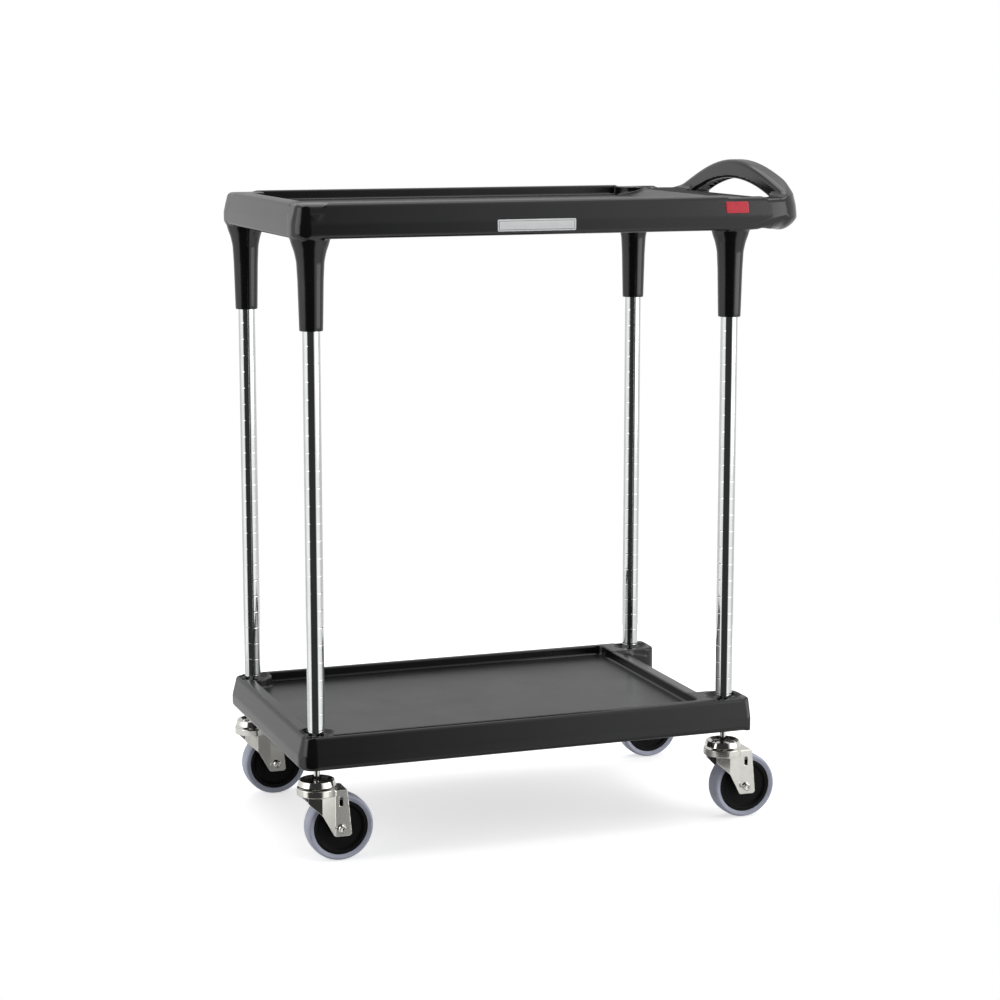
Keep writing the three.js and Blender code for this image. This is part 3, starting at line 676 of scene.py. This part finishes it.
def upper_field(x, y, z):
    """The upper tray down to SHELL_FOOT, with its storage platform, two arms and arched handle."""
    h = z - UPPER_FOOT
    lean = SKIRT_LEAN(h)
    x0, x1 = FRONT + SKIN_GAP + lean, HANDLE_END - SKIN_GAP - HANDLE_LEAN(h)
    r = np.where(x > 0, NOSE_RADIUS + NOSE_GROWTH(h), CORNER_RADIUS - np.minimum(lean, 8))
    side = rectangle(x, y, x0, x1, HALF_WIDTH - lean, r)
    foot_edge = FOOT_EDGE + NOSE_EDGE * smooth_step((x - NOSE_START) / NOSE_RUN)
    whole = meet(side, UPPER_FOOT - z, foot_edge)
    near_post = from_posts(x, y)
    low = np.maximum(smooth_step((PAD_REACH - near_post) / 3), smooth_step((x - POST_X1) / 6))
    behind = smooth_step((x - REAR_DROP_START) / REAR_DROP_RUN)
    rim = UPPER_RIM - PAD_DROP * low - REAR_DROP * behind
    tray = meet(whole, z - rim, OUTER_EDGE)
    tray = carve(tray, recess(x, y, z, RECESS_START, HANDLE_END + 30, UPPER_RIM, UPPER_FLOOR(x)), EDGE)
    tray = carve(tray, underside(x, y, z, PLATFORM_END, UPPER_ROOF, UPPER_BOSS), 1.5)
    gap = meet(PLATFORM_END - x, np.abs(y) - ARM_Y, 7)
    tray = carve(tray, gap, 3)
    slope = (HANDLE_TOP - UPPER_RIM + PLATFORM_DROP) * ARCH_POWER * math.pi / (2 * ARCH_SPAN)
    steep = slope * np.abs(np.sin(arch_turn(y))) * np.cos(arch_turn(y)) ** (ARCH_POWER - 1)
    arch = meet(whole, ARCH_FRONT - x, 5)
    arch = meet(arch, (z - arch_top(y)) / np.sqrt(1 + steep**2), 7)
    under = (z - arch_foot(y)) / np.sqrt(1 + (2 * ARCH_BEND * y) ** 2)
    arch = carve(arch, meet(under, np.abs(y) - ARM_Y, 9), 4)
    channel = meet(np.abs(x - CHANNEL_X) - CHANNEL_WIDTH / 2, z - arch_foot(y) - CHANNEL_DEPTH, 2)
    channel = meet(channel, np.abs(y) - CHANNEL_REACH, 4)
    arch = carve(arch, channel, 1.5)
    tray = merge(tray, arch, 12)
    sleeve = (near_post - SLEEVE_SIDE(h)) / SLEEVE_STEEPNESS
    sleeve = np.maximum(sleeve, np.maximum(SHELL_FOOT - z, z - (UPPER_DECK - 3)))
    tray = merge(tray, sleeve, 3)
    tray = meet(tray, side - 0.1, 0.5)
    socket = np.maximum(near_post - SLEEVE_BORE, z - (UPPER_DECK + 2))
    return meet(tray, -socket, 0.6)


def lower_field(x, y, z):
    """The lower tray, with dishes round the posts, a sloping rear lip and two rear corner blocks."""
    lean = SKIRT_LEAN(z - LOWER_FOOT)
    x0, x1 = FRONT + SKIN_GAP + lean, LOWER_END - SKIN_GAP - REAR_LEAN * lean
    r = np.where(x > 0, REAR_RADIUS, CORNER_RADIUS - np.minimum(lean, 8))
    side = rectangle(x, y, x0, x1, HALF_WIDTH - lean, r)
    behind = smooth_step((x - REAR_START) / 12)
    whole = meet(side, LOWER_FOOT - z, FOOT_EDGE - 6 * behind)
    tray = meet(whole, z - LOWER_RIM, OUTER_EDGE - 2 * behind)
    lip_end = POST_X1 - 16
    lip_start = lip_end - 30
    tray = carve(tray, recess(x, y, z, RECESS_START, lip_start, LOWER_RIM, LOWER_DECK), EDGE)
    back = meet(lip_end - x, np.abs(y) - ARM_Y, 9)
    scoop = 22
    cx, cy = LOWER_END - scoop, ARM_Y + scoop
    corner = np.maximum(np.maximum(cx - x, np.abs(y) - cy), scoop - np.hypot(x - cx, np.abs(y) - cy))
    tray = carve(tray, np.minimum(back, corner), 4)
    crest = LOWER_RIM - 1.2 - np.maximum(x - lip_start - 3, 0) * LIP_SLOPE
    slope = meet(meet(crest - z, np.abs(y) - ARM_Y, 6), lip_start - 1 - x, 2)
    tray = carve(tray, slope, EDGE)
    tray = carve(tray, underside(x, y, z, lip_end, LOWER_ROOF, LOWER_BOSS), 1.5)
    near_post = from_posts(x, y)
    cone = np.maximum((near_post - 21 - (z - LOWER_RIM + DISH_DEPTH)) / 1.41, near_post - 28.5)
    cone = np.maximum(cone, np.maximum(np.abs(y) - 207.5, FRONT + 10.5 - x))
    tray = carve(tray, meet(cone, LOWER_RIM - DISH_DEPTH - z, 3), 1.6)
    socket = np.maximum(near_post - POST_SOCKET, POST_FOOT - 0.3 - z)
    socket = np.minimum(socket, near_post - STEM_HOLE)
    return meet(tray, -socket, 0.8)


fine, coarse = 2.3, 8.0
side_lines = grid_lines(-220, fine, -148, coarse, 148, fine, 220)
upper_lines = grid_lines(
    FRONT - 2, fine, -330, coarse, 242, fine, 318, fine * 0.9, HANDLE_END + 2
)
upper_heights = grid_lines(SHELL_FOOT - 1.5, 3, 894, fine * 0.9, 962, fine * 1.1, HANDLE_TOP + 2)
upper = skin("upper_tray_shell", upper_field, upper_lines, side_lines, upper_heights)
settle(upper, "upper_tray", TRAY, "tray_plastic", "upper_tray")

sleeve_side = [(15.3, SLEEVE_FOOT + 0.5), (15.8, SLEEVE_FOOT), (16.4, SLEEVE_FOOT)]
for k, z in enumerate(np.linspace(SLEEVE_FOOT + 0.7, SHELL_FOOT + 4, 14)):
    sleeve_side.append((float(SLEEVE_SIDE(z - UPPER_FOOT)) - (0.05 if k else 0.15), z))
sleeve_side += [(SLEEVE_BORE, SHELL_FOOT + 4), (SLEEVE_BORE, LOCK_TOP), (15.3, LOCK_TOP)]
for corner in CORNERS:
    tube = turned("sleeve_" + corner, sleeve_side, 72, loop=True)
    settle(tube, "upper_tray", TRAY, "tray_plastic", at=(POST[corner][0], POST[corner][1], 0))

lower_lines = grid_lines(FRONT - 2, fine, -330, coarse, 222, fine, LOWER_END + 2)
lower_heights = grid_lines(LOWER_FOOT - 1.5, fine * 0.8, LOWER_RIM + 1.5)
lower = skin("lower_tray_shell", lower_field, lower_lines, side_lines, lower_heights)
settle(lower, "base", TRAY, "tray_plastic", "lower_tray")


def deck_ribs(name, body, x0, x1, roof):
    """A grid of shallow tapered ribs under a deck, which keep clear of the posts."""
    short, full, half_rib = 152, 209, 1.5
    foot, top = roof - 8, roof + 1
    boxes = []
    for x in np.linspace(x0 + 60, x1 - 60, 8):
        reach = short if min(abs(x - POST_X0), abs(x - POST_X1)) < 34 else full
        boxes.append(((x - half_rib, -reach, foot), (x + half_rib, reach, top), 0.5))
    for y in np.linspace(-140, 140, 5):
        boxes.append(((x0, y - half_rib, foot), (x1, y + half_rib, top), 0.5))
    settle(blocks(name, boxes, 0.5), body, TRAY, "tray_plastic")


deck_ribs("upper_deck_ribs", "upper_tray", FRONT + 9, PLATFORM_END - 9, UPPER_ROOF)
deck_ribs("lower_deck_ribs", "base", FRONT + 9, POST_X1 - 25, LOWER_ROOF)

plates = []
for y in np.arange(-128, 129, 16.0):
    foot = arch_foot(y) + 1.5
    plates.append(((ARCH_FRONT + 5, y - 1.2, foot), (ARCH_FRONT + 26, y + 1.2, foot + 9), 0.2))
settle(blocks("handle_ribs", plates, 0.4), "upper_tray", TRAY, "tray_plastic")


def skirt_plate(name, low, high, proud, thickness, radius, body, material, slot, node):
    """A thin plate with round corners that follows the left skirt of the upper tray."""
    points, faces = [], []

    def surface(z):
        h = z - UPPER_FOOT
        dip = FOOT_EDGE - math.sqrt(max(FOOT_EDGE**2 - max(FOOT_EDGE - h, 0) ** 2, 0))
        return -HALF_WIDTH + float(SKIRT_LEAN(h)) + dip

    def loop_points(shrink, out):
        made = []
        r = max(radius - shrink, 0.2)
        cx = (high[0] - low[0]) / 2 - shrink - r
        cz = (high[2] - low[2]) / 2 - shrink - r
        mx, mz = (low[0] + high[0]) / 2, (low[2] + high[2]) / 2
        for sx, sz, start in ((1, 1, 0), (-1, 1, 90), (-1, -1, 180), (1, -1, 270)):
            for k in range(7):
                a = math.radians(start + 15 * k)
                x = mx + sx * cx + r * math.cos(a)
                z = mz + sz * cz + r * math.sin(a)
                made.append((x, surface(z) - out, z))
        return made

    rings = [
        loop_points(0, -0.6), loop_points(0, proud - thickness * 0.4), loop_points(0.12, proud - 0.1),
        loop_points(0.35, proud), loop_points(2.5, proud), loop_points((high[2] - low[2]) * 0.35, proud),
    ]
    count = len(rings[0])
    for ring in rings:
        points += ring
    for k in range(len(rings) - 1):
        for i in range(count):
            j = (i + 1) % count
            faces.append([k * count + i, k * count + j, (k + 1) * count + j, (k + 1) * count + i])
    faces.append([(len(rings) - 1) * count + i for i in range(count)])
    faces.append(list(reversed(range(count))))
    settle(smooth_piece(name, points, faces, 50), body, material, slot, node)


label_low, label_high = box_mm("label")
skirt_plate("blank_label", label_low, label_high, 0.25, 0.3, 2.0, "upper_tray", FILM, "label_film", "label")
badge_low, badge_high = box_mm("badge")
skirt_plate(
    "plain_badge", badge_low, badge_high, 0.8, 0.8, 1.5,
    "upper_tray", ENAMEL, "badge_plastic", "badge",
)


# ---------- Posts and what is inside the sleeves ----------

GROOVE_PITCH = 25.4
GROOVE_Z = SLEEVE_FOOT - 20.4
GROOVE_SHAPE = ((-1.3, 0), (-0.9, 0.1), (-0.45, 0.8), (0, 1), (0.45, 0.8), (0.9, 0.1), (1.3, 0))


def post_profile():
    """The wall of a post, with ring grooves down its outside."""
    outer, inner, depth = 12.7, 11.2, 0.14
    side = [(outer, POST_FOOT), (outer, POST_FOOT + 0.4)]
    first = math.ceil((POST_FOOT + 8 - GROOVE_Z) / GROOVE_PITCH)
    last = math.floor((POST_TOP - 8 - GROOVE_Z) / GROOVE_PITCH)
    for k in range(first, last + 1):
        z = GROOVE_Z + k * GROOVE_PITCH
        for dz, d in GROOVE_SHAPE:
            side.append((outer - depth * d, z + dz))
    side += [(outer, POST_TOP - 0.6), (outer - 0.4, POST_TOP), (inner, POST_TOP), (inner, POST_FOOT)]
    return side


for corner in CORNERS:
    x, y, _ = POST[corner]
    post = turned("grooved_post_" + corner, post_profile(), 56, loop=True)
    settle(post, "base", CHROME, "post_chrome", f"post_{corner}", at=(x, y, 0))
    top = POST_TOP
    cap = softened(
        [
            (0, top - 15), (10.9, top - 15), (10.9, top + 0.3), (12.2, top + 0.3),
            (11.4, top + 3.2), (0, top + 3.2),
        ],
        0.7,
    )
    settle(
        turned("cap_" + corner, cap, 40),
        "base", BLACK, "black_plastic", f"post_cap_{corner}", at=(x, y, 0),
    )
    low, high = box_mm(f"post_insert_{corner}")
    insert = softened([(4.8, low[2]), (10.9, low[2]), (10.9, high[2]), (4.8, high[2])], 0.6, loop=True)
    settle(
        turned("insert_" + corner, insert, 40, loop=True),
        "base", STEEL, "steel", f"post_insert_{corner}", at=(x, y, 0),
    )
    low, high = box_mm(f"lock_sleeve_{corner}")
    profile = softened([(13.0, low[2]), (15.0, low[2]), (15.0, high[2]), (13.0, high[2])], 0.4, 2, loop=True)
    points, faces, count, steps = [], [], len(profile), 48
    for i in range(steps + 1):
        angle = 0.25 + (2 * math.pi - 0.5) * i / steps
        points += [(r * math.cos(angle), r * math.sin(angle), h) for r, h in profile]
    for i in range(steps):
        for k in range(count):
            j = (k + 1) % count
            faces.append([i * count + k, i * count + j, (i + 1) * count + j, (i + 1) * count + k])
    faces.append(list(range(count)))
    faces.append([steps * count + k for k in range(count)])
    settle(
        smooth_piece("lock_" + corner, points, faces),
        "upper_tray", BLACK, "black_plastic", f"lock_sleeve_{corner}", at=(x, y, 0),
    )


# ---------- Casters ----------

TRAIL = 32.0
AXLE_Z = 50
WHEEL_ROOM = 53
AXLE_HOLE, KINGPIN_HOLE = 4.3, 4.8
BALL_COUNT = 12
BALL_RING = 13.4
LEG_OUTLINE = [(-19, 107.5), (-19, 92), (1, 73), (20, 39.5), (23, 38), (44, 38), (47, 41), (41, 107.5)]
LEG_OUTSIDE = [(-19, 19.5), (0.5, 27.5), (22, 19.5), (50, 19.5)]
LEG_INSIDE = [(-18, 17.2), (0.5, 24.8), (21.5, 17), (50, 17)]
CROWN = [(-6, 106), (27, 106), (27, 100.5), (29.4, 100.5), (29.4, 111), (26.5, 110.6), (20, 109), (-6, 109)]


def fork_field(x, y, z):
    """A pressed fork: two legs, a web and a crown, with holes for the axle and the kingpin."""
    wall = outline_distance(x, np.abs(y), LEG_INSIDE + LEG_OUTSIDE[::-1], 0.4)
    legs = meet(wall, outline_distance(x, z, LEG_OUTLINE, 2.2), 0.5)
    rho = np.hypot(x, y)
    fork = merge(legs, outline_distance(rho, z, CROWN, 0.8), 1.5)
    web = meet(meet(np.abs(x - 20.5) - 20.5, np.abs(y) - 18.5, 2), np.abs(z - 106.75) - 0.75, 0.3)
    fork = merge(fork, web, 1)
    wheel_room = np.maximum(np.hypot(x - TRAIL, z - AXLE_Z) - WHEEL_ROOM, np.abs(y) - 16.5)
    fork = carve(fork, wheel_room, 0.4)
    slot = meet(np.abs(x - 31) - 2.4, np.abs(z - 90.5) - 6.5, 1.2)
    fork = carve(fork, slot, 0.4)
    fork = carve(fork, np.hypot(x - TRAIL, z - AXLE_Z) - AXLE_HOLE, 0.4)
    dimple = np.sqrt((x - TRAIL + 8.5) ** 2 + (z - (AXLE_Z + 1)) ** 2 + (np.abs(y) - 21) ** 2) - 2.3
    fork = carve(fork, dimple, 0.4)
    return carve(fork, rho - KINGPIN_HOLE, 0.3)


def fork_mesh():
    step = 1.15
    across = grid_lines(-31.5, step, 31.5)
    return skin("fork_skin", fork_field, grid_lines(-31.5, step, 51), across, grid_lines(36.3, step, 112.5))


def hexagon(width, radius):
    """Ripple that turns a round outline of that radius into a nut across its flats."""

    def shape(r, height, angle):
        if r < radius - 1.3:
            return r
        flat = (angle + math.pi / 6) % (math.pi / 3) - math.pi / 6
        return min(r, width / 2 / math.cos(flat))

    return shape


def ball(points, faces, centre, radius):
    """Adds one ball, made of rows of faces from its foot to its top."""
    rows, columns = 8, 12
    base = len(points)
    points.append((centre[0], centre[1], centre[2] - radius))
    for i in range(1, rows):
        a = math.pi * i / rows
        for k in range(columns):
            b = 2 * math.pi * k / columns
            points.append((
                centre[0] + radius * math.sin(a) * math.cos(b),
                centre[1] + radius * math.sin(a) * math.sin(b),
                centre[2] - radius * math.cos(a),
            ))
    points.append((centre[0], centre[1], centre[2] + radius))
    for k in range(columns):
        j = (k + 1) % columns
        faces.append([base, base + 1 + j, base + 1 + k])
        last = base + 1 + (rows - 2) * columns
        faces.append([last + k, last + j, base + 1 + (rows - 1) * columns])
        for i in range(rows - 2):
            a = base + 1 + i * columns
            faces.append([a + k, a + j, a + columns + j, a + columns + k])


def bearing(name):
    """A caged ring of balls."""
    points, faces = [], []
    for i in range(BALL_COUNT):
        angle = 2 * math.pi * i / BALL_COUNT
        ball(points, faces, (BALL_RING * math.cos(angle), BALL_RING * math.sin(angle), 112), 2.65)
    obj = smooth_piece(name, points, faces)
    side = softened([(9.2, 110.7), (17.3, 110.7), (17.3, 113.3), (9.2, 113.3)], 0.5, loop=True)
    return obj, turned(name + "_cage", side, 48, loop=True)


stem_side = softened(
    [
        (0, 100.9), (4, 100.9), (4, 115), (20, 115), (28.2, 114.1), (25.4, 122.6), (24, 122.3), (20.5, 117.5),
        (12, 117.2), (4.5, 119), (4.5, 168), (0, 168),
    ],
    0.8,
)
tyre_side = [
    (41, -13), (41.6, -13.2), (45.4, -14.9), (46.6, -15), (47.8, -14.4),
    (48.9, -12.8), (49.6, -10.4), (49.9, -7.6), (50, -4), (50, 0),
]
tyre_side += [(r, -h) for r, h in reversed(tyre_side[:-1])]
hub_half = [
    (7, -15.2), (10.4, -15.2), (11, -14.7), (12.6, -9.8), (13.6, -9.2), (16, -9), (31.6, -9), (32.6, -9.3),
    (33.2, -10), (35.2, -12.6), (36.2, -13), (40.3, -13), (40.7, -12.6),
]
hub_side = hub_half + [(r, -h) for r, h in reversed(hub_half)]
bolt_side = softened(
    [
        (0, -22.6), (2.4, -22.9), (3.4, -24.6), (4.6, -24.6), (6.4, -22.6), (6.4, -19.9), (4, -19.8),
        (4, 28.2), (3.2, 29), (0, 29),
    ],
    0.5,
)

template = fork_mesh()
for corner in CORNERS:
    px, py, _ = POST[corner]
    swivel, wheel = f"swivel_{corner}", f"wheel_{corner}"
    here, axle = (px, py, 0), (px + TRAIL, py, AXLE_Z)
    fork = add("pressed_fork_" + corner, template.data.copy())
    settle(fork, swivel, ZINC, "zinc_plate", f"fork_{corner}", at=here)
    stem = turned("stem_" + corner, stem_side, 56)
    settle(stem, "base", BRIGHT, "zinc_plate", f"caster_stem_{corner}", at=here)
    low, high = box_mm(f"kingpin_nut_{corner}")
    nut = softened([(4.3, low[2]), (7.6, low[2]), (7.6, high[2]), (4.3, high[2])], 0.6, loop=True)
    piece = turned("kingpin_nut_shaped_" + corner, nut, 48, loop=True, ripple=hexagon(13.2, 7.6))
    settle(piece, "base", STEEL, "steel", f"kingpin_nut_{corner}", at=here)
    balls, cage = bearing("bearing_balls_" + corner)
    settle(balls, swivel, STEEL, "steel", f"swivel_bearing_{corner}", at=here)
    settle(cage, swivel, STEEL, "steel", at=here)
    bolt = turned("bolt_" + corner, bolt_side, 40, along_y=True)
    settle(bolt, swivel, ZINC, "zinc_plate", f"axle_bolt_{corner}", at=axle)
    side = softened([(4.4, 19.9), (7.5, 19.9), (7.5, 26.2), (4.4, 26.2)], 0.7, loop=True)
    piece = turned("nut_" + corner, side, 48, loop=True, along_y=True, ripple=hexagon(13, 7.5))
    settle(piece, swivel, ZINC, "zinc_plate", f"axle_nut_{corner}", at=axle)
    side = softened([(4.3, -16.7), (6.5, -16.7), (6.5, 16.7), (4.3, 16.7)], 0.4, 2, loop=True)
    piece = turned("bush_" + corner, side, 40, loop=True, along_y=True)
    settle(piece, swivel, STEEL, "steel", f"axle_bush_{corner}", at=axle)
    piece = turned("hub_" + corner, hub_side, 72, loop=True, along_y=True)
    settle(piece, wheel, HUB, "hub_plastic", f"wheel_hub_{corner}", at=axle)
    piece = turned("tread_" + corner, tyre_side, 96, loop=True, along_y=True)
    settle(piece, wheel, RUBBER, "tyre_rubber", f"tyre_{corner}", at=axle)
bpy.data.objects.remove(template)


# ---------- Floor, light and camera ----------

TO_CAMERA = np.array([-0.34, -0.94])
DARK_SIDE = (-0.436, -0.9, 0.0)
FLOOR_NEAR, FLOOR_FAR, FLOOR_REACH = 0.4, 1.3, 1.4
FLOOR_GLOW = 0.6
CAMERA_PLACE = (-1.310, -3.574, 1.123)
CAMERA_TILT, CAMERA_TURN = 80.46, -19.89
CAMERA_LENS, CAMERA_SENSOR = 89.8, 36


def floor():
    """A pale floor that ends a little in front of the trolley, on the side of the camera.

    It glows for the camera alone, which lightens the shadow that the camera sees on it.
    """
    ahead = TO_CAMERA
    aside = np.array([-ahead[1], ahead[0]])
    near, far, reach = FLOOR_NEAR * ahead, -FLOOR_FAR * ahead, FLOOR_REACH * aside
    corners = [near - reach, near + reach, far + reach, far - reach]
    mesh = bpy.data.meshes.new("floor")
    mesh.from_pydata([(*corner, 0) for corner in corners], [], [(0, 3, 2, 1)])
    f = Finish("floor_paint", Roughness=0.7, Specular_IOR_Level=0.2)
    f.shader.inputs["Emission Color"].default_value = (1, 1, 1, 1)
    seen = f.node("ShaderNodeLightPath").outputs["Is Camera Ray"]
    f.link(f.math("MULTIPLY", seen, FLOOR_GLOW), f.shader.inputs["Emission Strength"])
    f.colour(f.mix(f.fit(f.noise(1.5, 3), 0.3, 0.7, 0, 1), (0.74, 0.74, 0.74), (0.76, 0.76, 0.76)))
    mesh.materials.append(f.material)
    add("floor", mesh)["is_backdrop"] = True


def studio():
    """White all round, with a dark stretch on the side of the camera and a softer sky behind.

    The dark stretch shows in reflections only: the camera itself sees plain white.
    """
    world = bpy.data.worlds.new("studio")
    bpy.context.scene.world = world
    world.use_nodes = True
    tree = world.node_tree
    tree.nodes.clear()

    def node(kind, operation, *values):
        made = tree.nodes.new(kind)
        if operation:
            made.operation = operation
        for i, value in enumerate(values):
            if isinstance(value, bpy.types.NodeSocket):
                tree.links.new(value, made.inputs[i])
            else:
                made.inputs[i].default_value = value
        return made

    direction = tree.nodes.new("ShaderNodeTexCoord").outputs["Generated"]
    level = node("ShaderNodeVectorMath", "MULTIPLY", direction, (1, 1, 0)).outputs[0]
    level = node("ShaderNodeVectorMath", "NORMALIZE", level).outputs[0]
    toward = node("ShaderNodeVectorMath", "DOT_PRODUCT", level, DARK_SIDE).outputs["Value"]
    height = node("ShaderNodeSeparateXYZ", None, direction).outputs[2]
    height = node("ShaderNodeMath", "ABSOLUTE", height).outputs[0]
    front = node("ShaderNodeMapRange", None, toward, 0.632, 0.774, 1.1, 0.035).outputs[0]
    back = node("ShaderNodeMapRange", None, height, 0.06, 0.22, 0.78, 0.66).outputs[0]
    behind = node("ShaderNodeMapRange", None, toward, 0.1, -0.3, 0, 1).outputs[0]
    change = node("ShaderNodeMath", "SUBTRACT", back, front).outputs[0]
    change = node("ShaderNodeMath", "MULTIPLY", change, behind).outputs[0]
    glow = node("ShaderNodeMath", "ADD", front, change).outputs[0]
    light = node("ShaderNodeBackground", None, glow)
    plain = node("ShaderNodeBackground", None, (1, 1, 1, 1))
    both = node("ShaderNodeMixShader", None, tree.nodes.new("ShaderNodeLightPath").outputs["Is Camera Ray"])
    tree.links.new(light.outputs[0], both.inputs[1])
    tree.links.new(plain.outputs[0], both.inputs[2])
    out = tree.nodes.new("ShaderNodeOutputWorld")
    tree.links.new(both.outputs[0], out.inputs["Surface"])


def lamp(name, place, aim, size, power):
    """A rectangular area lamp that looks at its aim. Power is in watts."""
    data = bpy.data.lights.new(name, "AREA")
    data.shape = "RECTANGLE"
    data.size, data.size_y = size
    data.energy = power
    obj = bpy.data.objects.new(name, data)
    bpy.context.scene.collection.objects.link(obj)
    obj.location = place
    obj.rotation_euler = (Vector(aim) - Vector(place)).to_track_quat("-Z", "Y").to_euler()


floor()
studio()
lamp("overhead", (0.2, 0.6, 3.4), (0, 0, 0.4), (3.5, 3.5), 60)
lamp("left", (-3.4, -0.6, 1.6), (0, 0, 0.6), (2.2, 2.2), 20)
lamp("right", (3.0, -2.2, 1.3), (0, 0, 0.6), (3.0, 2.6), 40)

data = bpy.data.cameras.new("camera")
data.lens = CAMERA_LENS
data.sensor_width = CAMERA_SENSOR
camera = bpy.data.objects.new("camera", data)
bpy.context.scene.collection.objects.link(camera)
camera.location = CAMERA_PLACE
camera.rotation_euler = (math.radians(CAMERA_TILT), 0, math.radians(CAMERA_TURN))
bpy.context.scene.camera = camera
bpy.context.scene.view_settings.view_transform = "Standard"

low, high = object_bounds()
